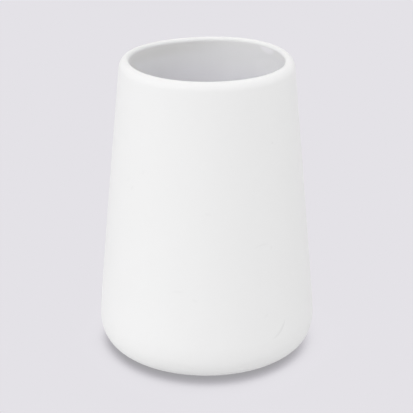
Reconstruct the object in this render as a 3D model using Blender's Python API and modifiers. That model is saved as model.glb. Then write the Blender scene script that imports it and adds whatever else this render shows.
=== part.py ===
"""Ceramic tumbler for a bathroom shelf.

An open cup, wide and softly rounded at the base and narrower at the mouth,
standing on four small non-slip pads that are stuck inside its foot ring.
Metres, +Z up. The origin is on the table, on the cup's axis.
"""

import math

import bpy

COLLECTION_NAME = "ceramic_tumbler"

# Cup
OVERALL_HEIGHT = 0.110
SIDE_TOP_RADIUS = 0.0308
SIDE_FOOT_RADIUS = 0.0410
SIDE_SWELL = 0.0002
WALL_THICKNESS = 0.0034
FLOOR_THICKNESS = 0.0042

# Lip: the crest divides the wall, and each side of it falls by its own height
LIP_OUTER_SHARE = 0.78
LIP_OUTER_DROP = 0.0036
LIP_INNER_DROP = 0.0013

# Rounding between the side and the foot, outside and inside
BASE_ROUND_WIDTH = 0.0117
BASE_ROUND_HEIGHT = 0.0119
BASE_ROUND_POWER = 2.5
INNER_ROUND_WIDTH = 0.0090
INNER_ROUND_HEIGHT = 0.0095
ELLIPSE_POWER = 2.0

# Foot ring and the shallow recess inside it
FOOT_RING_WIDTH = 0.0036
RECESS_DEPTH = 0.0010
RECESS_EDGE_ROUND = 0.0004

# Non-slip pads, each on a film of adhesive under the recess ceiling
PAD_COUNT = 4
PAD_RADIUS = 0.0045
PAD_STAND_OFF = 0.0009
PAD_EDGE_ROUND = 0.0004
PAD_RING_CLEARANCE = 0.0016
PAD_FIRST_ANGLE = math.radians(45)
ADHESIVE_FILM = 0.0003

# Fineness of the turned shapes
CUP_STEPS = 72
PAD_STEPS = 32
SIDE_SPANS = 6
ROUND_SPANS = 10
LIP_SPANS = 7
EDGE_SPANS = 3
MERGE_DISTANCE = 0.00001

QUARTER_TURN = math.pi / 2
HALF_TURN = math.pi

# Materials: colour, roughness
GLAZED_WHITE = ((0.88, 0.88, 0.885, 1.0), 0.42)
PAD_SILICONE = ((0.80, 0.81, 0.80, 1.0), 0.55)


def clear_scene():
    """Remove every object that the scene holds."""
    for item in list(bpy.data.objects):
        bpy.data.objects.remove(item, do_unlink=True)


def make_collection(name):
    """Add a collection to the scene and return it."""
    collection = bpy.data.collections.new(name)
    bpy.context.scene.collection.children.link(collection)
    return collection


def make_material(name, finish):
    """A plain Principled material from a colour and a roughness."""
    colour, roughness = finish
    material = bpy.data.materials.new(name)
    material.use_nodes = True
    shader = material.node_tree.nodes["Principled BSDF"]
    shader.inputs["Base Color"].default_value = colour
    shader.inputs["Roughness"].default_value = roughness
    shader.inputs["Metallic"].default_value = 0.0
    material.diffuse_color = colour
    return material


def signed_power(value, exponent):
    """Raise a number's size to a power and keep its sign."""
    return math.copysign(abs(value) ** exponent, value)


def arc_point(centre, width, height, power, angle):
    """A point of the superellipse with these half sizes, at a curve angle."""
    radius = centre[0] + width * signed_power(math.cos(angle), 2 / power)
    level = centre[1] + height * signed_power(math.sin(angle), 2 / power)
    return radius, level


def arc(centre, width, height, power, start, end, spans):
    """Points of a superellipse between two curve angles, both included."""
    steps = [start + (end - start) * index / spans for index in range(spans + 1)]
    return [arc_point(centre, width, height, power, angle) for angle in steps]


def cup_height():
    """Height of the ceramic alone, from its foot ring to its lip."""
    return OVERALL_HEIGHT - PAD_STAND_OFF


def side_radius(level):
    """Outer radius of the side at a level above the foot ring."""
    share = level / cup_height()
    straight = SIDE_FOOT_RADIUS + (SIDE_TOP_RADIUS - SIDE_FOOT_RADIUS) * share
    return straight + SIDE_SWELL * 4 * share * (1 - share)


def side_lean(level):
    """Angle by which the side leans towards the axis at a level."""
    share = level / cup_height()
    slope = SIDE_TOP_RADIUS - SIDE_FOOT_RADIUS + SIDE_SWELL * 4 * (1 - 2 * share)
    return math.atan(-slope / cup_height())


def contact_angle(width, height, power, lean):
    """Curve angle at which a superellipse runs parallel to the leaning side."""
    ratio = math.tan(abs(lean)) * height / width
    return math.copysign(math.atan(ratio ** (1 / (2 - 2 / power))), lean)


def round_to_side(inset, width, height, power, level):
    """Centre and contact angle of a rounding whose middle is at a level.

    The rounding touches the side's surface, moved towards the axis by inset.
    """
    angle = contact_angle(width, height, power, side_lean(level))
    reach, touch = arc_point((0, level), width, height, power, angle)
    centre = (side_radius(touch) - inset - reach, level)
    return centre, angle


def side_points(inset, low, high):
    """Points along the side between two levels, both left out, going up."""
    levels = [low + (high - low) * index / SIDE_SPANS for index in range(1, SIDE_SPANS)]
    return [(side_radius(level) - inset, level) for level in levels]


def outer_base():
    """Rounding from the side down to the foot ring, from top to bottom."""
    size = (BASE_ROUND_WIDTH, BASE_ROUND_HEIGHT, BASE_ROUND_POWER)
    centre, angle = round_to_side(0, *size, BASE_ROUND_HEIGHT)
    return arc(centre, *size, angle, -QUARTER_TURN, ROUND_SPANS)


def foot_radius():
    """Radius of the foot ring's outer edge."""
    return outer_base()[-1][0]


def recess_radius():
    """Radius of the recess inside the foot ring."""
    return foot_radius() - FOOT_RING_WIDTH


def floor_level():
    """Level of the cup's inner floor above its foot ring."""
    return RECESS_DEPTH + FLOOR_THICKNESS


def inner_surface():
    """The hollow's outline, from the middle of its floor up to the lip."""
    size = (INNER_ROUND_WIDTH, INNER_ROUND_HEIGHT, ELLIPSE_POWER)
    centre, angle = round_to_side(WALL_THICKNESS, *size, floor_level() + INNER_ROUND_HEIGHT)
    corner = arc(centre, *size, -QUARTER_TURN, angle, ROUND_SPANS)
    lip = inner_lip()
    wall = side_points(WALL_THICKNESS, corner[-1][1], lip[0][1])
    return [(0, floor_level())] + corner + wall + lip


def crest_radius():
    """Radius of the lip's highest circle."""
    width = WALL_THICKNESS * LIP_OUTER_SHARE
    level = cup_height() - LIP_OUTER_DROP
    return round_to_side(0, width, LIP_OUTER_DROP, ELLIPSE_POWER, level)[0][0]


def inner_lip():
    """Rounding from the hollow's wall up to the lip's crest, crest left out."""
    level = cup_height() - LIP_INNER_DROP
    width = crest_radius() - (side_radius(level) - WALL_THICKNESS)
    size = (width, LIP_INNER_DROP, ELLIPSE_POWER)
    angle = contact_angle(*size, side_lean(level))
    return arc((crest_radius(), level), *size, HALF_TURN + angle, QUARTER_TURN, LIP_SPANS)[:-1]


def outer_lip():
    """Rounding from the lip's crest down to the outer side."""
    size = (WALL_THICKNESS * LIP_OUTER_SHARE, LIP_OUTER_DROP, ELLIPSE_POWER)
    centre, angle = round_to_side(0, *size, cup_height() - LIP_OUTER_DROP)
    return arc(centre, *size, QUARTER_TURN, angle, LIP_SPANS)


def recess():
    """Step from the foot ring up into the recess, and its ceiling's middle."""
    rounding = min(RECESS_EDGE_ROUND, RECESS_DEPTH / 2)
    size = (rounding, rounding, ELLIPSE_POWER)
    edge_centre = (recess_radius() + rounding, rounding)
    corner_centre = (recess_radius() - rounding, RECESS_DEPTH - rounding)
    edge = arc(edge_centre, *size, -QUARTER_TURN, -HALF_TURN, EDGE_SPANS)
    corner = arc(corner_centre, *size, 0, QUARTER_TURN, EDGE_SPANS)
    return edge + corner + [(0, RECESS_DEPTH)]


def cup_outline():
    """The cup's whole outline: up the hollow, over the lip, down and under."""
    lip = outer_lip()
    base = outer_base()
    side = side_points(0, lip[-1][1], base[0][1])
    return inner_surface() + lip + side + base + recess()


def pad_outline():
    """A pad's outline: stuck face, wall, rounded lower edge, rest face."""
    thickness = RECESS_DEPTH + PAD_STAND_OFF - ADHESIVE_FILM
    rounding = min(PAD_EDGE_ROUND, thickness / 2)
    edge_centre = (PAD_RADIUS - rounding, rounding)
    edge = arc(edge_centre, rounding, rounding, ELLIPSE_POWER, 0, -QUARTER_TURN, EDGE_SPANS)
    return [(0, thickness), (PAD_RADIUS, thickness)] + edge + [(0, 0)]


def turned_mesh(name, outline):
    """A mesh of the outline alone, in the XZ plane on the +X side."""
    points = [(radius, 0, level) for radius, level in outline]
    edges = [(index, index + 1) for index in range(len(points) - 1)]
    mesh = bpy.data.meshes.new(name)
    mesh.from_pydata(points, edges, [])
    return mesh


def turned_object(name, mesh, steps, collection, parent):
    """An object that turns an outline mesh once round its own Z axis."""
    item = bpy.data.objects.new(name, mesh)
    collection.objects.link(item)
    item.parent = parent
    screw = item.modifiers.new("turn", "SCREW")
    screw.axis = "Z"
    screw.steps = steps
    screw.render_steps = steps
    screw.use_merge_vertices = True
    screw.merge_threshold = MERGE_DISTANCE
    screw.use_smooth_shade = True
    return item


def build_cup(collection, parent):
    """The ceramic cup, standing clear of the table by the pads' stand-off."""
    mesh = turned_mesh("cup_outline", cup_outline())
    mesh.materials.append(make_material("white_glazed_ceramic", GLAZED_WHITE))
    cup = turned_object("tumbler_body", mesh, CUP_STEPS, collection, parent)
    cup.location = (0, 0, PAD_STAND_OFF)


def build_pads(collection, parent):
    """The non-slip pads, evenly spaced inside the foot ring."""
    circle = recess_radius() - PAD_RING_CLEARANCE - PAD_RADIUS
    for index in range(PAD_COUNT):
        name = f"foot_pad_{index + 1}"
        angle = PAD_FIRST_ANGLE + 2 * math.pi * index / PAD_COUNT
        mesh = turned_mesh(name + "_outline", pad_outline())
        mesh.materials.append(make_material(name + "_silicone", PAD_SILICONE))
        pad = turned_object(name, mesh, PAD_STEPS, collection, parent)
        pad.location = (circle * math.cos(angle), circle * math.sin(angle), 0)


def build_tumbler():
    """Model the whole tumbler under one empty at the origin."""
    clear_scene()
    collection = make_collection(COLLECTION_NAME)
    frame = bpy.data.objects.new("tumbler_frame", None)
    collection.objects.link(frame)
    build_cup(collection, frame)
    build_pads(collection, frame)


build_tumbler()
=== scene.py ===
"""Looks of the ceramic tumbler: satin-matt white glaze outside, a smoother and cooler glaze
in the hollow, a bare fired foot ring and soft silicone pads, on a plain pale floor.
Metres, +Z up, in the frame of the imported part.
"""

import math
from types import SimpleNamespace

import bmesh
import bpy
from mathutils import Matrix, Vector


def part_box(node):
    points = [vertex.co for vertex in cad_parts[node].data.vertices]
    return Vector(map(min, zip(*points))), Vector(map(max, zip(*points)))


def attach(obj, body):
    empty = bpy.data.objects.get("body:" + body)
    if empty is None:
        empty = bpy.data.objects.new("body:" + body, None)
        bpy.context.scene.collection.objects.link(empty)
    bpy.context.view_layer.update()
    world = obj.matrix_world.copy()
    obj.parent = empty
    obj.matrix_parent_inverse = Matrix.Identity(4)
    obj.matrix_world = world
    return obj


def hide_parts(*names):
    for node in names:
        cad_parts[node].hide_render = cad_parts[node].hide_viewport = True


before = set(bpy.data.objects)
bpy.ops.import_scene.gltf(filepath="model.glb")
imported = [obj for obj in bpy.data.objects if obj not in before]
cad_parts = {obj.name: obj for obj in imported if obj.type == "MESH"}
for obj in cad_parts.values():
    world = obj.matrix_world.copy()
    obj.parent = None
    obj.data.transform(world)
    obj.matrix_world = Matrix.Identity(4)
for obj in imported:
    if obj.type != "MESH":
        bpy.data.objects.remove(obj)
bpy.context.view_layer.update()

# The cup's outline, as the part has it; its foot and top come from the frame
SIDE_TOP_RADIUS = 0.0308
SIDE_FOOT_RADIUS = 0.0410
SIDE_SWELL = 0.0002
WALL = 0.0034
FLOOR_THICKNESS = 0.0042
LIP_OUTER_SHARE = 0.78
LIP_OUTER_DROP = 0.0036
LIP_INNER_DROP = 0.0013
FOOT_RING_WIDTH = 0.0036
RECESS_DEPTH = 0.0010
RECESS_EDGE_ROUND = 0.0004
CUP_LOW, CUP_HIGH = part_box("tumbler_body")
FOOT, TOP = CUP_LOW[2], CUP_HIGH[2]
HEIGHT = TOP - FOOT

# Roundings of the base, outside and inside: half width, half height and power of a superellipse,
# and the power of a plain ellipse
BASE_ROUND = (0.0117, 0.0119, 2.5)
INNER_ROUND = (0.0090, 0.0095, 2.0)
ELLIPSE = 2.0

# The glaze ends in a soft roll just outside the bare foot ring
GLAZE_END_CLEARANCE = 0.0014
GLAZE_ROLL = 0.00012

# Cast ware is never quite true. Here turns run from +X towards +Y, in radians. These are the
# shares of the radius by which the cup is oval and three-sided, and the turns of both swellings
OVAL_SHARE = 0.0007
OVAL_TURN = 0.6
THREE_SIDED_SHARE = 0.0004
THREE_SIDED_TURN = 2.1

# Heights of the rim's one, two and three waves round, as cosine and sine parts; how far the rim
# swells outward on one side, and towards which turn; and the power of the height by which all
# these fade down the cup
RIM_WAVES = {1: (0.0, 0.00007), 2: (0.00011, 0.00016), 3: (-0.00011, 0.00010)}
RIM_BULGE = 0.00018
RIM_BULGE_TURN = 0.3
RIM_FADE = 4

# Heights by which the edge of the base rises to the right and to the back, and the power by
# which they fade up the cup and towards its axis
BASE_TILT = (0.000115, 0.000125)
BASE_FADE = 4

# Pads, as the part has them, and the adhesive film that holds each one
PAD_COUNT = 4
PAD_EDGE_ROUND = 0.0004
PAD_TOP_ROUND = 0.00015
FILM_THICKNESS = 0.0003
FILM_INSET = 0.00025

# Fineness of the turned shapes
CUP_STEPS = 192
PAD_STEPS = 72
SIDE_SPANS = 48
ROUND_SPANS = 36
LIP_SPANS = 20
EDGE_SPANS = 6

# The photograph's view: side of its frame in pixels, width of the sensor in millimetres, focal
# length in pixels, distance to the point it aims at, and angle by which it looks down
IMAGE_SIDE = 413
SENSOR_WIDTH = 36.0
CAMERA_FOCAL_PIXELS = 1455.6
CAMERA_DISTANCE = 0.5348
CAMERA_ELEVATION = math.radians(21.963)
CAMERA_AIM = Vector((-0.0001, 0.0, 0.05348))

# Floor and backdrop: one display colour, as scene-linear values
BACKDROP = (0.7758, 0.7605, 0.7991)
FLOOR_HALF_SIDE = 3.0

# A fade is written as a start, an end, the value at the start and the value at the end

# Light that the floor throws back on the cup, without tint: its share, and fades of what that
# gains beside the cup's left side, loses on its right, and gains close round its foot
BOUNCE = 0.762
BOUNCE_LEFT_RISE = (-0.085, -0.055, 0.0, 0.090)
BOUNCE_LEFT_FALL = (-0.035, -0.012, 1.0, 0.0)
BOUNCE_RIGHT = (0.010, 0.060, 0.0, -0.012)
BOUNCE_FOOT = (0.038, 0.046, 0.070, 0.0)

# Contact shadow: reach of the occlusion, and the floor's brightness at each share of open sky
SHADOW_REACH = 0.016
SHADOW_SAMPLES = 16
SHADOW_CURVE = (
    (0.0, 0.28), (0.10, 0.44), (0.16, 0.475), (0.24, 0.515), (0.34, 0.62),
    (0.43, 0.76), (0.50, 0.895), (0.55, 0.955), (0.60, 0.99), (0.66, 1.0), (1.0, 1.0),
)

# How much steeper the shadow runs round the cup, about its middle share of open sky, and how much
# lighter it is: turns from the front in degrees, and amounts in shares of open sky. The share
# never goes below the deepest
SHADOW_MIDDLE = 0.45
SHADOW_DEEPEST = 0.10
SHADOW_STEEPER = (
    (-180, 0.0), (-130, 0.0), (-100, 0.40), (-75, 0.38), (-60, 0.31), (-45, 0.12), (-30, 0.0),
    (0, -0.09), (30, 0.02), (52, 0.15), (75, 0.07), (90, -0.10), (130, 0.0), (180, 0.0),
)
SHADOW_LIGHTER = (
    (-180, 0.0), (-130, 0.0), (-95, -0.09), (-80, -0.05), (-67, 0.005), (-55, 0.018), (-30, 0.0),
    (7, -0.019), (27, 0.002), (48, 0.032), (75, 0.021), (90, 0.017), (130, 0.0), (180, 0.0),
)

# The shadow's tint, by its brightness: greyer than the backdrop at its deepest, bluer further
# out, and the backdrop's own where it ends
SHADOW_CORE_COLOUR = (0.7550, 0.7605, 0.7800, 1)
SHADOW_EDGE_COLOUR = (0.7800, 0.7605, 0.8100, 1)
SHADOW_CORE_FADE = (0.36, 0.54, 0.0, 1.0)
SHADOW_EDGE_FADE = (0.70, 1.0, 0.0, 1.0)

# Even light from all round, and wide soft lamps: turn from the front and height in degrees, and
# the brightness that each one gives to a white surface that faces it
SKY_STRENGTH = 0.302
SOFT_LAMP_WIDTH = math.radians(70)
LAMPS = {
    "left_level": (-90, 0, 0.172),
    "left_front_high": (-45, 45, 0.342),
    "front_high": (0, 45, 0.264),
    "right_low": (90, 12, 0.280),
    "left_back_low": (-135, 12, 0.175),
    "right_back_high": (135, 45, 0.181),
}

# In the materials, sizes, heights and depths are in metres, and what a pattern swings is the
# whole range from its least to its most. Dots are a spacing, a size and a share of the places

# The satin-matt glaze outside
OUTSIDE = SimpleNamespace(
    cloud_size=0.024,
    patch_size=0.0035,
    grain_size=0.00022,
    peel_size=0.0016,
    pinholes=(0.0075, 0.00016, 0.3),
    cloud_colours=((0.879, 0.878, 0.878, 1), (0.887, 0.886, 0.887, 1)),
    lip_colour=(0.885, 0.880, 0.868, 1),
    lip_fade=(TOP - 0.0012, TOP, 0.0, 0.35),
    patch_tone=0.006,
    pinhole_loss=0.10,
    roughness=0.56,
    patch_roughness=0.10,
    cloud_roughness=0.06,
    peel_height=0.0000030,
    grain_height=0.0000012,
    dent_height=-0.00002,
    ior=1.5,
    specular_level=0.25,
)

# The glaze in the hollow. Its colour changes at two depths below the rim, which wander a little:
# it turns paler and bluer further down, and the paleness is painted light against the shade deep
# in the hollow. Near the lip on the left it is darker and warmer, which is painted shade. It has
# runs in it that hang down
HOLLOW = SimpleNamespace(
    cloud_size=0.014,
    patch_size=0.0028,
    streak_size=0.0050,
    streak_stretch=(1, 1, 0.12),
    run_size=0.006,
    run_stretch=(1, 1, 0.3),
    peel_size=0.0012,
    depth_swing=0.003,
    # Colours at the lip, higher and lower in the hollow; they grow paler further down, which is
    # painted light
    lip_colour=(0.894, 0.894, 0.891, 1),
    upper_colour=(0.904, 0.904, 0.911, 1),
    lower_colour=(0.924, 0.918, 0.946, 1),
    upper_fade=(0.0018, 0.0045, 0.0, 1.0),
    lower_fade=(0.007, 0.016, 0.0, 1.0),
    # Colour of the painted highlight's spot under the lip on the right
    painted_highlight_spot_colour=(0.980, 0.972, 0.990, 1),
    # Painted shade under the lip on the left: its colour, and its fades across and down
    left_painted_shade_colour=(0.837, 0.835, 0.822, 1),
    left_painted_shade_across=(0.010, -0.014, 0.0, 1.0),
    left_painted_shade_down=(0.0032, 0.0082, 1.0, 0.0),
    patch_tone=0.006,
    streak_tone=0.012,
    roughness=0.34,
    cloud_roughness=0.08,
    patch_roughness=0.04,
    run_height=0.000012,
    peel_height=0.0000015,
    ior=1.5,
)

# The bare clay of the foot ring, with open pits and the rings that a sponge leaves
CLAY = SimpleNamespace(
    cloud_size=0.009,
    grain_size=0.00018,
    ring_spacing=0.00035,
    ring_swing=0.0004,
    pits=(0.0011, 0.00016, 0.35),
    cloud_colours=((0.80, 0.775, 0.735, 1), (0.835, 0.815, 0.78, 1)),
    pit_colour=(0.58, 0.54, 0.48, 1),
    pit_share=0.5,
    grain_tone=0.08,
    roughness=0.86,
    grain_roughness=0.12,
    ring_height=0.0000035,
    grain_height=0.00001,
    pit_height=-0.00003,
    ior=1.5,
)

# The pads' soft silicone, with a little dust on it
SILICONE = SimpleNamespace(
    cloud_size=0.0025,
    grain_size=0.00012,
    dust=(0.0009, 0.00007, 0.25),
    cloud_colours=((0.775, 0.785, 0.775, 1), (0.82, 0.83, 0.82, 1)),
    dust_colour=(0.55, 0.54, 0.52, 1),
    dust_share=0.5,
    roughness=0.55,
    cloud_roughness=0.12,
    dust_roughness=0.3,
    grain_height=0.000002,
    dust_height=0.00001,
    ior=1.41,
)

# The pads' milky adhesive
ADHESIVE = SimpleNamespace(
    bubble_size=0.0005,
    bubble_colours=((0.70, 0.69, 0.65, 1), (0.78, 0.77, 0.73, 1)),
    roughness=0.35,
    bubble_roughness=0.2,
    bubble_height=0.000006,
    ior=1.48,
)

# Detail of the noises, from fine to coarse, and the share of a dot's size over which it is full
FINE_DETAIL = 3.0
PLAIN_DETAIL = 2.0
LEAST_DETAIL = 1.0
DOT_CORE = 0.3

# Faint marks on the outside, and painted shade on the lip: turn from the front in degrees, height,
# half length, half width, tilt in degrees, bend per metre, how much of the colour is lost, how
# much more at the far end
MARKS_AND_PAINTED_SHADE = {
    "scuff": (42.0, 0.0174, 0.0046, 0.00060, 42.0, 55.5, 0.060, 0.35),
    "rub_arch": (31.5, 0.0515, 0.0036, 0.00032, 4.0, -60.0, 0.028, 0.0),
    "rub_end": (38.0, 0.0495, 0.0008, 0.00045, 70.0, 0.0, 0.030, 0.0),
    "nick": (42.9, 0.0868, 0.00048, 0.00042, 0.0, 0.0, 0.050, 0.0),
    "drag": (-48.6, 0.0698, 0.0013, 0.00040, 55.0, 0.0, 0.034, 0.0),
    "drag_beside": (-52.5, 0.0723, 0.0010, 0.00035, 20.0, 0.0, 0.018, 0.0),
    "smudge_low": (-15.4, 0.0361, 0.0026, 0.0006, 3.0, 0.0, 0.014, 0.0),
    "smudge_beside": (-6.2, 0.0333, 0.0012, 0.0006, -30.0, 0.0, 0.018, 0.0),
    "smudge_right": (33.0, 0.0249, 0.0011, 0.0007, 40.0, 0.0, 0.018, 0.0),
    "smudge_middle": (0.4, 0.0648, 0.0013, 0.0006, -20.0, 0.0, 0.014, 0.0),
    "smudge_high": (-40.0, 0.0768, 0.0010, 0.0006, 60.0, 0.0, 0.014, 0.0),
    # Painted shade: the lip's crest on the left, darker
    "painted_shade_lip_left": (-92.0, 0.1094, 0.0210, 0.0030, 0.0, 0.0, 0.028, 0.0),
}

# In the hollow, under the lip on the right, a painted highlight: a soft pale spot and below it a
# paler streak, with the same measures as a mark; here the tone is the spot's share and what the
# streak gains
PAINTED_HIGHLIGHT_SPOT = (127.0, 0.1086, 0.0040, 0.0021, 0.0, 0.0, 1.0, 0.0)
PAINTED_HIGHLIGHT_STREAK = (121.0, 0.1012, 0.0110, 0.0042, 0.0, 0.0, 0.040, 0.0)

# Where a mark's edge starts and ends, as squares of shares of its half sizes
MARK_EDGE = (0.2, 1.3)

QUARTER_TURN = math.pi / 2
HALF_TURN = math.pi
FULL_TURN = 2 * math.pi
DEGREES_ROUND = 360


# Turned shapes

def signed_power(value, exponent):
    """Raise a number's size to a power and keep its sign."""
    return math.copysign(abs(value) ** exponent, value)


def arc_point(centre, size, angle):
    """A point of the superellipse with that half width, half height and power."""
    width, height, power = size
    radius = centre[0] + width * signed_power(math.cos(angle), 2 / power)
    return radius, centre[1] + height * signed_power(math.sin(angle), 2 / power)


def arc(centre, size, start, end, spans):
    """Points of a superellipse between two curve angles, both included."""
    steps = [start + (end - start) * index / spans for index in range(spans + 1)]
    return [arc_point(centre, size, angle) for angle in steps]


def circle_arc(centre, radius, start, end):
    """Points of a small round edge between two angles, both included."""
    return arc(centre, (radius, radius, ELLIPSE), start, end, EDGE_SPANS)


def side_radius(level):
    """Outer radius of the side at a level above the foot ring."""
    share = level / HEIGHT
    straight = SIDE_FOOT_RADIUS + (SIDE_TOP_RADIUS - SIDE_FOOT_RADIUS) * share
    return straight + SIDE_SWELL * 4 * share * (1 - share)


def side_lean(level):
    """Angle by which the side leans towards the axis at a level."""
    slope = SIDE_TOP_RADIUS - SIDE_FOOT_RADIUS + SIDE_SWELL * 4 * (1 - 2 * level / HEIGHT)
    return math.atan(-slope / HEIGHT)


def contact_angle(size, lean):
    """Curve angle at which a superellipse runs parallel to the leaning side."""
    width, height, power = size
    ratio = math.tan(lean) * height / width
    return math.atan(ratio ** (1 / (2 - 2 / power)))


def round_to_side(inset, size, level):
    """Centre and contact angle of a rounding that meets the side, moved in by inset."""
    angle = contact_angle(size, side_lean(level))
    reach, touch = arc_point((0, level), size, angle)
    return (side_radius(touch) - inset - reach, level), angle


def side_points(inset, low, high):
    """Points along the side between two levels, both left out."""
    levels = [low + (high - low) * index / SIDE_SPANS for index in range(1, SIDE_SPANS)]
    return [(side_radius(level) - inset, level) for level in levels]


def disc_points(radius, level):
    """Points of a level disc from its middle outward, its edge left out."""
    return [(radius * index / ROUND_SPANS, level) for index in range(ROUND_SPANS)]


def hollow_zone(lip):
    """The hollow's outline, from the middle of its floor up to the lip's first point."""
    floor = RECESS_DEPTH + FLOOR_THICKNESS
    centre, angle = round_to_side(WALL, INNER_ROUND, floor + INNER_ROUND[1])
    corner = arc(centre, INNER_ROUND, -QUARTER_TURN, angle, ROUND_SPANS)
    wall = side_points(WALL, corner[-1][1], lip[1])
    return disc_points(corner[0][0], floor) + corner + wall + [lip]


def inner_lip(crest):
    """Rounding from the hollow's wall up to the lip's crest, crest left out."""
    level = HEIGHT - LIP_INNER_DROP
    size = (crest - side_radius(level) + WALL, LIP_INNER_DROP, ELLIPSE)
    start = HALF_TURN + contact_angle(size, side_lean(level))
    return arc((crest, level), size, start, QUARTER_TURN, LIP_SPANS)[:-1]


def outer_lip():
    """Rounding from the lip's crest down to the outer side."""
    size = (WALL * LIP_OUTER_SHARE, LIP_OUTER_DROP, ELLIPSE)
    centre, angle = round_to_side(0, size, HEIGHT - LIP_OUTER_DROP)
    return arc(centre, size, QUARTER_TURN, angle, LIP_SPANS)


def cup_zones():
    """The cup's outline in zones: hollow, outside, bare foot ring, glazed recess.

    Each zone runs on from the last point of the one before it.
    """
    outer = outer_lip()
    inner = inner_lip(outer[0][0])
    centre, angle = round_to_side(0, BASE_ROUND, BASE_ROUND[1])
    rounding = arc(centre, BASE_ROUND, angle, -QUARTER_TURN, ROUND_SPANS)
    base = [point for point in rounding if point[0] > centre[0] + GLAZE_END_CLEARANCE]
    roll_centre = (base[-1][0], base[-1][1] + GLAZE_ROLL)
    roll = circle_arc(roll_centre, GLAZE_ROLL, -QUARTER_TURN, -HALF_TURN)
    side = side_points(0, outer[-1][1], base[0][1])
    outside = inner[1:] + outer + side + base + roll[1:]

    ring_level = roll[-1][1]
    recess_radius = centre[0] - FOOT_RING_WIDTH
    edge_centre = (recess_radius + RECESS_EDGE_ROUND, ring_level + RECESS_EDGE_ROUND)
    ring = circle_arc(edge_centre, RECESS_EDGE_ROUND, -QUARTER_TURN, -HALF_TURN)
    corner_centre = (recess_radius - RECESS_EDGE_ROUND, RECESS_DEPTH - RECESS_EDGE_ROUND)
    corner = circle_arc(corner_centre, RECESS_EDGE_ROUND, 0, QUARTER_TURN)
    ceiling = disc_points(corner[-1][0], RECESS_DEPTH)[::-1]
    return hollow_zone(inner[0]), outside, ring, corner + ceiling


def pad_zones(radius, thickness):
    """A pad's outline: stuck face, slightly rounded shoulder, wall and rounded rest face."""
    shoulder_centre = (radius - PAD_TOP_ROUND, thickness - PAD_TOP_ROUND)
    shoulder = circle_arc(shoulder_centre, PAD_TOP_ROUND, QUARTER_TURN, 0)
    edge_centre = (radius - PAD_EDGE_ROUND, PAD_EDGE_ROUND)
    edge = circle_arc(edge_centre, PAD_EDGE_ROUND, 0, -QUARTER_TURN)
    return [[(0, thickness)] + shoulder + edge + [(0, 0)]]


def film_zones(radius, thickness):
    """The outline of a flat disc of adhesive."""
    return [[(0, thickness), (radius, thickness), (radius, 0), (0, 0)]]


def cast_turn(angle, radius, level):
    """Move a point of the outline at a turn angle, as cast ware warps in the kiln."""
    oval = OVAL_SHARE * math.sin(2 * angle + OVAL_TURN)
    three_sided = THREE_SIDED_SHARE * math.sin(3 * angle + THREE_SIDED_TURN)
    rim = sum(
        along * math.cos(waves * angle) + beside * math.sin(waves * angle)
        for waves, (along, beside) in RIM_WAVES.items()
    )
    tilt = BASE_TILT[0] * math.cos(angle) + BASE_TILT[1] * math.sin(angle)
    share = level / HEIGHT
    rise = rim * share ** RIM_FADE
    facing = math.cos(angle - RIM_BULGE_TURN)
    bulge = RIM_BULGE * share ** RIM_FADE * facing * (1 + facing) / 2
    sink = tilt * ((1 - share) * radius / SIDE_FOOT_RADIUS) ** BASE_FADE
    return radius * (1 + oval + three_sided) + bulge, level + rise + sink


def put_in_scene(name, data):
    """An object of a mesh, lamp or camera, linked to the scene."""
    item = bpy.data.objects.new(name, data)
    bpy.context.scene.collection.objects.link(item)
    return item


def ring_of_points(centre, point, steps, warp):
    """A point of the outline taken once round a centre, and moved by warp if there is one."""
    places = []
    for step in range(steps):
        angle = FULL_TURN * step / steps
        radius, level = warp(angle, *point) if warp else point
        x = centre[0] + radius * math.cos(angle)
        y = centre[1] + radius * math.sin(angle)
        places.append((x, y, centre[2] + level))
    return places


def turned_mesh(name, zones, centre, steps, materials, warp=None):
    """A closed turned piece round a centre; each zone of its outline gets its own material."""
    mesh = bmesh.new()
    columns = []
    spans = []
    for index, zone in enumerate(zones):
        for point in zone:
            spans.append(index)
            if point[0] == 0:
                tip = mesh.verts.new((centre[0], centre[1], centre[2] + point[1]))
                columns.append([tip] * steps)
            else:
                places = ring_of_points(centre, point, steps, warp)
                columns.append([mesh.verts.new(place) for place in places])
    for row in range(len(columns) - 1):
        upper, lower = columns[row], columns[row + 1]
        for step in range(steps):
            after = (step + 1) % steps
            corners = dict.fromkeys((upper[step], lower[step], lower[after], upper[after]))
            face = mesh.faces.new(list(corners))
            face.material_index = spans[row + 1]
            face.smooth = True
    bmesh.ops.recalc_face_normals(mesh, faces=mesh.faces)
    data = bpy.data.meshes.new(name)
    mesh.to_mesh(data)
    mesh.free()
    for material in materials:
        data.materials.append(material)
    return put_in_scene(name, data)


# Nodes

def new_material(name):
    """A material with an empty node tree; returns it with its tree."""
    material = bpy.data.materials.new(name)
    material.use_nodes = True
    material.node_tree.nodes.clear()
    return material, material.node_tree


def feed(tree, socket, value):
    """Link a socket to another one, or set its value."""
    if isinstance(value, bpy.types.NodeSocket):
        tree.links.new(value, socket)
    else:
        socket.default_value = value


def add(tree, kind, inputs=(), **settings):
    """Add a node, set its properties, then set or link its inputs by name or number."""
    node = tree.nodes.new(kind)
    for key, value in settings.items():
        setattr(node, key, value)
    for key, value in dict(inputs).items():
        feed(tree, node.inputs[key], value)
    return node


def maths(tree, operation, *values):
    """Result of a calculation on numbers and sockets."""
    return add(tree, "ShaderNodeMath", dict(enumerate(values)), operation=operation).outputs[0]


def vector_maths(tree, operation, inputs):
    """Outputs of a calculation on vectors."""
    return add(tree, "ShaderNodeVectorMath", inputs, operation=operation).outputs


def times(tree, first, second):
    """One number or socket multiplied by another."""
    return maths(tree, "MULTIPLY", first, second)


def minus(tree, first, second):
    """One number or socket less another."""
    return maths(tree, "SUBTRACT", first, second)


def total(tree, *values):
    """Sum of several numbers and sockets."""
    result = values[0]
    for value in values[1:]:
        result = maths(tree, "ADD", result, value)
    return result


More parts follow.
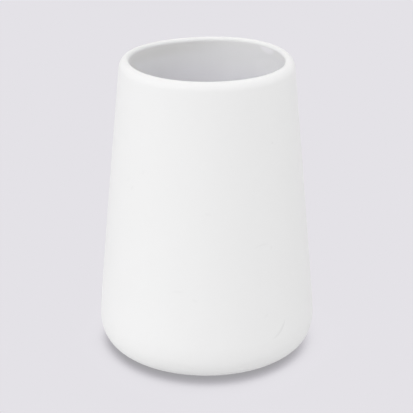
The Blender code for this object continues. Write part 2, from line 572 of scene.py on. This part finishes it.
def fade(tree, value, start, end, first, last):
    """Go smoothly from first to last while the value goes from start to end."""
    inputs = {"Value": value, "From Min": start, "From Max": end, "To Min": first, "To Max": last}
    node = add(tree, "ShaderNodeMapRange", inputs, interpolation_type="SMOOTHSTEP")
    return node.outputs["Result"]


def blend(tree, share, first, second):
    """Mix two colours by a share from 0 to 1."""
    return add(tree, "ShaderNodeMix", {0: share, 6: first, 7: second}, data_type="RGBA").outputs[2]


def scaled(tree, colour, share):
    """A colour multiplied by a number."""
    return vector_maths(tree, "SCALE", {0: colour, "Scale": share})[0]


def place_on_piece(tree):
    """Place on the piece in metres, as a vector."""
    return add(tree, "ShaderNodeTexCoord").outputs["Object"]


def parts_of(tree, place):
    """A place's three parts, by their letters."""
    return add(tree, "ShaderNodeSeparateXYZ", {0: place}).outputs


def away_from_origin(tree, place):
    """Distance of a place from the origin."""
    return vector_maths(tree, "LENGTH", {0: place})["Value"]


def turn_from_front(tree, position):
    """Angle round the axis from the front towards +X, in radians."""
    return maths(tree, "ARCTAN2", position["X"], times(tree, position["Y"], -1.0))


def cloud(tree, place, size, detail=PLAIN_DETAIL, stretch=(1, 1, 1)):
    """Smooth noise from 0 to 1 whose patches are about that size in metres."""
    stretched = vector_maths(tree, "MULTIPLY", {0: place, 1: stretch})[0]
    inputs = {"Vector": stretched, "Scale": 1 / size, "Detail": detail}
    return add(tree, "ShaderNodeTexNoise", inputs).outputs["Fac"]


def swing_by(tree, share, amount):
    """Turn noise from 0 to 1 into a value from minus to plus half the amount."""
    return times(tree, minus(tree, share, 0.5), amount)


def specks(tree, place, spacing, size, share):
    """Small round dots, one in each cell of about that spacing, only in a share of the cells."""
    cells = add(tree, "ShaderNodeTexVoronoi", {"Vector": place, "Scale": 1 / spacing}).outputs
    dot = fade(tree, cells["Distance"], DOT_CORE * size / spacing, size / spacing, 1.0, 0.0)
    draw = add(tree, "ShaderNodeSeparateColor", {0: cells["Color"]}).outputs[0]
    return times(tree, dot, maths(tree, "LESS_THAN", draw, share))


def float_curve(tree, value, points):
    """A value's height on a smooth curve through these points."""
    node = add(tree, "ShaderNodeFloatCurve", {"Value": value})
    curve = node.mapping.curves[0].points
    curve[0].location, curve[1].location = points[0], points[-1]
    for point in points[1:-1]:
        curve.new(*point)
    node.mapping.update()
    return node.outputs[0]


def round_the_cup(tree, turn, table):
    """Amount at a turn in radians, from a table of turns in degrees and amounts.

    A curve runs from 0 to 1, so turns and amounts are moved up by a half on it.
    """
    share = total(tree, maths(tree, "DIVIDE", turn, FULL_TURN), 0.5)
    points = [(degrees / DEGREES_ROUND + 0.5, amount + 0.5) for degrees, amount in table]
    return minus(tree, float_curve(tree, share, points), 0.5)


def mark(tree, around, level, spec, inset=0.0):
    """Tone of one mark on the side, or on the surface moved in from it by inset."""
    turn, height, half_length, half_width, tilt, bend, depth, taper = spec
    radius = side_radius(height - FOOT) - inset
    along = times(tree, minus(tree, around, math.radians(turn)), radius)
    above = minus(tree, level, height)
    cosine, sine = math.cos(math.radians(tilt)), math.sin(math.radians(tilt))
    length = total(tree, times(tree, along, cosine), times(tree, above, sine))
    across = total(tree, times(tree, along, -sine), times(tree, above, cosine))
    across = minus(tree, across, times(tree, times(tree, length, length), bend))
    far = maths(tree, "DIVIDE", length, half_length)
    wide = maths(tree, "DIVIDE", across, half_width)
    outward = total(tree, times(tree, far, far), times(tree, wide, wide))
    tone = fade(tree, outward, *MARK_EDGE, depth, 0.0)
    if taper == 0.0:
        return tone
    return times(tree, tone, total(tree, 1.0, times(tree, length, taper / half_length)))


def marks_and_painted_shade_tone(tree, position):
    """Summed tone of the scuffs, rubs and smudges and the lip's painted shade at a place outside.
    """
    around = turn_from_front(tree, position)
    return total(tree, *[mark(tree, around, position["Z"], spec) for spec in MARKS_AND_PAINTED_SHADE.values()])


def relief_of(tree, *layers):
    """Height of a surface in metres: the sum of patterns, each times its own height."""
    return total(tree, *[times(tree, pattern, height) for pattern, height in layers])


def finish_material(tree, colour, roughness, relief, **values):
    """Shade with these maps; relief is a height in metres, and the rest are plain values."""
    bump = add(tree, "ShaderNodeBump", {"Height": relief, "Distance": 1.0, "Strength": 1.0})
    inputs = {"Base Color": colour, "Roughness": roughness, "Normal": bump.outputs["Normal"]}
    inputs.update({key.replace("_", " "): value for key, value in values.items()})
    shader = add(tree, "ShaderNodeBsdfPrincipled", inputs)
    add(tree, "ShaderNodeOutputMaterial", {"Surface": shader.outputs["BSDF"]})


def outside_glaze():
    """Satin-matt white glaze: cloudy, finely grained, with pinholes, faint scuffs and painted lip
    shade.
    """
    material, tree = new_material("glaze_outside")
    place = place_on_piece(tree)
    position = parts_of(tree, place)
    broad = cloud(tree, place, OUTSIDE.cloud_size)
    patchy = cloud(tree, place, OUTSIDE.patch_size, FINE_DETAIL)
    grain = cloud(tree, place, OUTSIDE.grain_size)
    peel = cloud(tree, place, OUTSIDE.peel_size)
    pinholes = specks(tree, place, *OUTSIDE.pinholes)
    # The marks' tone includes painted shade on the lip's crest on the left
    marks_and_painted_shade = marks_and_painted_shade_tone(tree, position)

    body = blend(tree, broad, *OUTSIDE.cloud_colours)
    lip = fade(tree, position["Z"], *OUTSIDE.lip_fade)
    body = blend(tree, lip, body, OUTSIDE.lip_colour)
    open_holes = times(tree, pinholes, OUTSIDE.pinhole_loss)
    loss = total(tree, marks_and_painted_shade, open_holes, swing_by(tree, patchy, OUTSIDE.patch_tone))
    colour = scaled(tree, body, minus(tree, 1.0, loss))
    roughness = total(
        tree,
        OUTSIDE.roughness,
        swing_by(tree, patchy, OUTSIDE.patch_roughness),
        swing_by(tree, broad, OUTSIDE.cloud_roughness),
        marks_and_painted_shade,
    )
    relief = relief_of(
        tree,
        (peel, OUTSIDE.peel_height),
        (grain, OUTSIDE.grain_height),
        (total(tree, pinholes, marks_and_painted_shade), OUTSIDE.dent_height),
    )
    finish_material(
        tree, colour, roughness, relief,
        IOR=OUTSIDE.ior, Specular_IOR_Level=OUTSIDE.specular_level,
    )
    return material


def hollow_glaze():
    """The smoother, cooler glaze poured into the hollow.

    Further down it is paler, painted light against the shade deep in the hollow. Under the lip on
    the left it is darker and warmer, which is painted shade, and under the lip on the right a soft
    pale spot above a paler streak is a painted highlight.
    """
    material, tree = new_material("glaze_hollow")
    place = place_on_piece(tree)
    position = parts_of(tree, place)
    broad = cloud(tree, place, HOLLOW.cloud_size)
    patchy = cloud(tree, place, HOLLOW.patch_size, FINE_DETAIL)
    streaks = cloud(tree, place, HOLLOW.streak_size, LEAST_DETAIL, HOLLOW.streak_stretch)
    runs = cloud(tree, place, HOLLOW.run_size, LEAST_DETAIL, HOLLOW.run_stretch)
    peel = cloud(tree, place, HOLLOW.peel_size)
    around = turn_from_front(tree, position)
    # Painted highlight under the lip on the right: a soft pale spot and a paler streak below it
    painted_highlight_spot = mark(tree, around, position["Z"], PAINTED_HIGHLIGHT_SPOT, WALL)
    painted_highlight_streak = mark(tree, around, position["Z"], PAINTED_HIGHLIGHT_STREAK, WALL)

    # Paler and bluer further down; the paleness is painted light against the shade deep in the
    # hollow
    below = minus(tree, TOP, position["Z"])
    depth = total(tree, below, swing_by(tree, broad, HOLLOW.depth_swing))
    upper = fade(tree, depth, *HOLLOW.upper_fade)
    lower = fade(tree, depth, *HOLLOW.lower_fade)
    # Painted shade under the lip on the left, fading out towards the right and downwards
    to_left = fade(tree, position["X"], *HOLLOW.left_painted_shade_across)
    left_painted_shade = times(tree, to_left, fade(tree, below, *HOLLOW.left_painted_shade_down))
    body = HOLLOW.lip_colour
    for share, over in (
        (upper, HOLLOW.upper_colour),
        (lower, HOLLOW.lower_colour),
        (painted_highlight_spot, HOLLOW.painted_highlight_spot_colour),
        (left_painted_shade, HOLLOW.left_painted_shade_colour),
    ):
        body = blend(tree, share, body, over)
    tone = total(
        tree,
        1.0,
        swing_by(tree, patchy, HOLLOW.patch_tone),
        swing_by(tree, streaks, HOLLOW.streak_tone),
        painted_highlight_streak,
    )
    colour = scaled(tree, body, tone)
    roughness = total(
        tree,
        HOLLOW.roughness,
        swing_by(tree, broad, HOLLOW.cloud_roughness),
        swing_by(tree, patchy, HOLLOW.patch_roughness),
    )
    relief = relief_of(tree, (runs, HOLLOW.run_height), (peel, HOLLOW.peel_height))
    finish_material(tree, colour, roughness, relief, IOR=HOLLOW.ior)
    return material


def bare_foot():
    """Unglazed fired clay: warm, dry, with open grain, specks and rings from the sponge."""
    material, tree = new_material("bare_foot")
    place = place_on_piece(tree)
    broad = cloud(tree, place, CLAY.cloud_size)
    grain = cloud(tree, place, CLAY.grain_size, FINE_DETAIL)
    pits = specks(tree, place, *CLAY.pits)
    radius = total(tree, away_from_origin(tree, place), swing_by(tree, broad, CLAY.ring_swing))
    rings = maths(tree, "SINE", times(tree, radius, FULL_TURN / CLAY.ring_spacing))

    body = blend(tree, broad, *CLAY.cloud_colours)
    body = blend(tree, times(tree, pits, CLAY.pit_share), body, CLAY.pit_colour)
    colour = scaled(tree, body, total(tree, 1.0, swing_by(tree, grain, CLAY.grain_tone)))
    roughness = total(tree, CLAY.roughness, swing_by(tree, grain, CLAY.grain_roughness))
    relief = relief_of(
        tree,
        (rings, CLAY.ring_height),
        (grain, CLAY.grain_height),
        (pits, CLAY.pit_height),
    )
    finish_material(tree, colour, roughness, relief, IOR=CLAY.ior)
    return material


def pad_silicone():
    """Soft matt silicone, a little cloudy, with a few grains of dust stuck to it."""
    material, tree = new_material("pad_silicone_soft")
    place = place_on_piece(tree)
    broad = cloud(tree, place, SILICONE.cloud_size)
    grain = cloud(tree, place, SILICONE.grain_size)
    dust = specks(tree, place, *SILICONE.dust)
    body = blend(tree, broad, *SILICONE.cloud_colours)
    colour = blend(tree, times(tree, dust, SILICONE.dust_share), body, SILICONE.dust_colour)
    roughness = total(
        tree,
        SILICONE.roughness,
        swing_by(tree, broad, SILICONE.cloud_roughness),
        times(tree, dust, SILICONE.dust_roughness),
    )
    relief = relief_of(tree, (grain, SILICONE.grain_height), (dust, SILICONE.dust_height))
    finish_material(tree, colour, roughness, relief, IOR=SILICONE.ior)
    return material


def film_adhesive():
    """A slim film of milky adhesive between a pad and the cup."""
    material, tree = new_material("adhesive_film")
    bubbles = cloud(tree, place_on_piece(tree), ADHESIVE.bubble_size, FINE_DETAIL)
    colour = blend(tree, bubbles, *ADHESIVE.bubble_colours)
    swing = swing_by(tree, bubbles, ADHESIVE.bubble_roughness)
    roughness = total(tree, ADHESIVE.roughness, swing)
    relief = relief_of(tree, (bubbles, ADHESIVE.bubble_height))
    finish_material(tree, colour, roughness, relief, IOR=ADHESIVE.ior)
    return material


# Stage

def shows_backdrop(tree):
    """1 for camera, glossy and transmission rays, 0 for the rays that carry light."""
    path = add(tree, "ShaderNodeLightPath").outputs
    mirrored = maths(tree, "MAXIMUM", path["Is Glossy Ray"], path["Is Transmission Ray"])
    return maths(tree, "MAXIMUM", path["Is Camera Ray"], mirrored)


def lit_or_seen(tree, lit, seen):
    """One shader for the rays that carry light, and another for those that show the backdrop."""
    inputs = {0: shows_backdrop(tree), 1: lit.outputs[0], 2: seen.outputs[0]}
    return add(tree, "ShaderNodeMixShader", inputs).outputs[0]


def open_sky_share(tree, position):
    """Share of the sky that a place on the floor sees, as the contact shadow takes it."""
    occlusion = add(
        tree, "ShaderNodeAmbientOcclusion", {"Distance": SHADOW_REACH}, samples=SHADOW_SAMPLES
    )
    seen = occlusion.outputs["AO"]
    turn = turn_from_front(tree, position)
    off_middle = minus(tree, seen, SHADOW_MIDDLE)
    steeper = times(tree, round_the_cup(tree, turn, SHADOW_STEEPER), off_middle)
    uneven = total(tree, seen, steeper, round_the_cup(tree, turn, SHADOW_LIGHTER))
    return maths(tree, "MINIMUM", maths(tree, "MAXIMUM", uneven, SHADOW_DEEPEST), 1.0)


def floor_bounce(tree, place, position):
    """Share of the light that the floor throws back at a place."""
    rise = fade(tree, position["X"], *BOUNCE_LEFT_RISE)
    near_left = times(tree, rise, fade(tree, position["X"], *BOUNCE_LEFT_FALL))
    near_right = fade(tree, position["X"], *BOUNCE_RIGHT)
    near_foot = fade(tree, away_from_origin(tree, place), *BOUNCE_FOOT)
    return total(tree, BOUNCE, near_left, near_right, near_foot)


def floor_material():
    """The backdrop's colour, darker where the cup closes off the sky."""
    material, tree = new_material("floor_pale")
    place = place_on_piece(tree)
    position = parts_of(tree, place)
    shade = float_curve(tree, open_sky_share(tree, position), SHADOW_CURVE)
    out_of_core = fade(tree, shade, *SHADOW_CORE_FADE)
    colour = blend(tree, out_of_core, SHADOW_CORE_COLOUR, SHADOW_EDGE_COLOUR)
    colour = blend(tree, fade(tree, shade, *SHADOW_EDGE_FADE), colour, (*BACKDROP, 1))
    seen = add(tree, "ShaderNodeEmission", {"Color": colour, "Strength": shade})
    lit = add(tree, "ShaderNodeBsdfDiffuse", {"Color": floor_bounce(tree, place, position)})
    add(tree, "ShaderNodeOutputMaterial", {"Surface": lit_or_seen(tree, lit, seen)})
    return material


def build_floor():
    """The plain floor, round the origin."""
    side = FLOOR_HALF_SIDE
    corners = [(-side, -side, 0), (side, -side, 0), (side, side, 0), (-side, side, 0)]
    data = bpy.data.meshes.new("floor")
    data.from_pydata(corners, [], [(0, 1, 2, 3)])
    data.materials.append(floor_material())
    put_in_scene("floor", data)


def build_world():
    """Even light from all round, behind a backdrop of the floor's colour."""
    world = bpy.data.worlds.new("studio")
    bpy.context.scene.world = world
    world.use_nodes = True
    tree = world.node_tree
    tree.nodes.clear()
    lit = add(tree, "ShaderNodeBackground", {"Color": (1, 1, 1, 1), "Strength": SKY_STRENGTH})
    seen = add(tree, "ShaderNodeBackground", {"Color": (*BACKDROP, 1), "Strength": 1.0})
    add(tree, "ShaderNodeOutputWorld", {"Surface": lit_or_seen(tree, lit, seen)})


def direction(across, up):
    """Unit vector to a turn from the front towards +X and a height, both in radians."""
    level = math.cos(up)
    return Vector((math.sin(across) * level, -math.cos(across) * level, math.sin(up)))


def turn_towards(item, vector, axis):
    """Turn an object so that one of its axes points along a vector."""
    item.rotation_mode = "QUATERNION"
    item.rotation_quaternion = vector.to_track_quat(axis, "Y")


def build_lamps():
    """Wide soft lamps; each shines from its turn from the front and its height."""
    for name, (turn, height, strength) in LAMPS.items():
        data = bpy.data.lights.new(name, "SUN")
        data.angle = SOFT_LAMP_WIDTH
        data.energy = math.pi * strength
        towards = direction(math.radians(turn), math.radians(height))
        turn_towards(put_in_scene(name, data), towards, "Z")


def build_camera():
    """The camera at the photograph's viewing angle."""
    data = bpy.data.cameras.new("camera")
    data.sensor_width = SENSOR_WIDTH
    data.lens = CAMERA_FOCAL_PIXELS * SENSOR_WIDTH / IMAGE_SIDE
    camera = put_in_scene("camera", data)
    back = direction(0, CAMERA_ELEVATION)
    camera.location = CAMERA_AIM + back * CAMERA_DISTANCE
    turn_towards(camera, -back, "-Z")
    bpy.context.scene.camera = camera


# Pieces

def build_cup():
    """The cup's fine surface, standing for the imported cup."""
    outside = outside_glaze()
    materials = [hollow_glaze(), outside, bare_foot(), outside]
    cup = turned_mesh("tumbler_shell", cup_zones(), (0, 0, FOOT), CUP_STEPS, materials, cast_turn)
    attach(cup, "root")
    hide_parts("tumbler_body")


def build_pads():
    """The pads and the adhesive film over each of them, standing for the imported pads."""
    silicone, adhesive = [pad_silicone()], [film_adhesive()]
    for index in range(1, PAD_COUNT + 1):
        low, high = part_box(f"foot_pad_{index}")
        radius, thickness = (high[0] - low[0]) / 2, high[2] - low[2]
        centre = ((low[0] + high[0]) / 2, (low[1] + high[1]) / 2, low[2])
        stuck = (centre[0], centre[1], high[2])
        pad_outline = pad_zones(radius, thickness)
        film_outline = film_zones(radius - FILM_INSET, FILM_THICKNESS)
        pad = turned_mesh(f"soft_pad_{index}", pad_outline, centre, PAD_STEPS, silicone)
        film = turned_mesh(f"pad_film_{index}", film_outline, stuck, PAD_STEPS, adhesive)
        for piece in (pad, film):
            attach(piece, "root")
        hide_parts(f"foot_pad_{index}")


bpy.context.scene.view_settings.view_transform = "Standard"
build_camera()
build_world()
build_lamps()
build_floor()
build_cup()
build_pads()
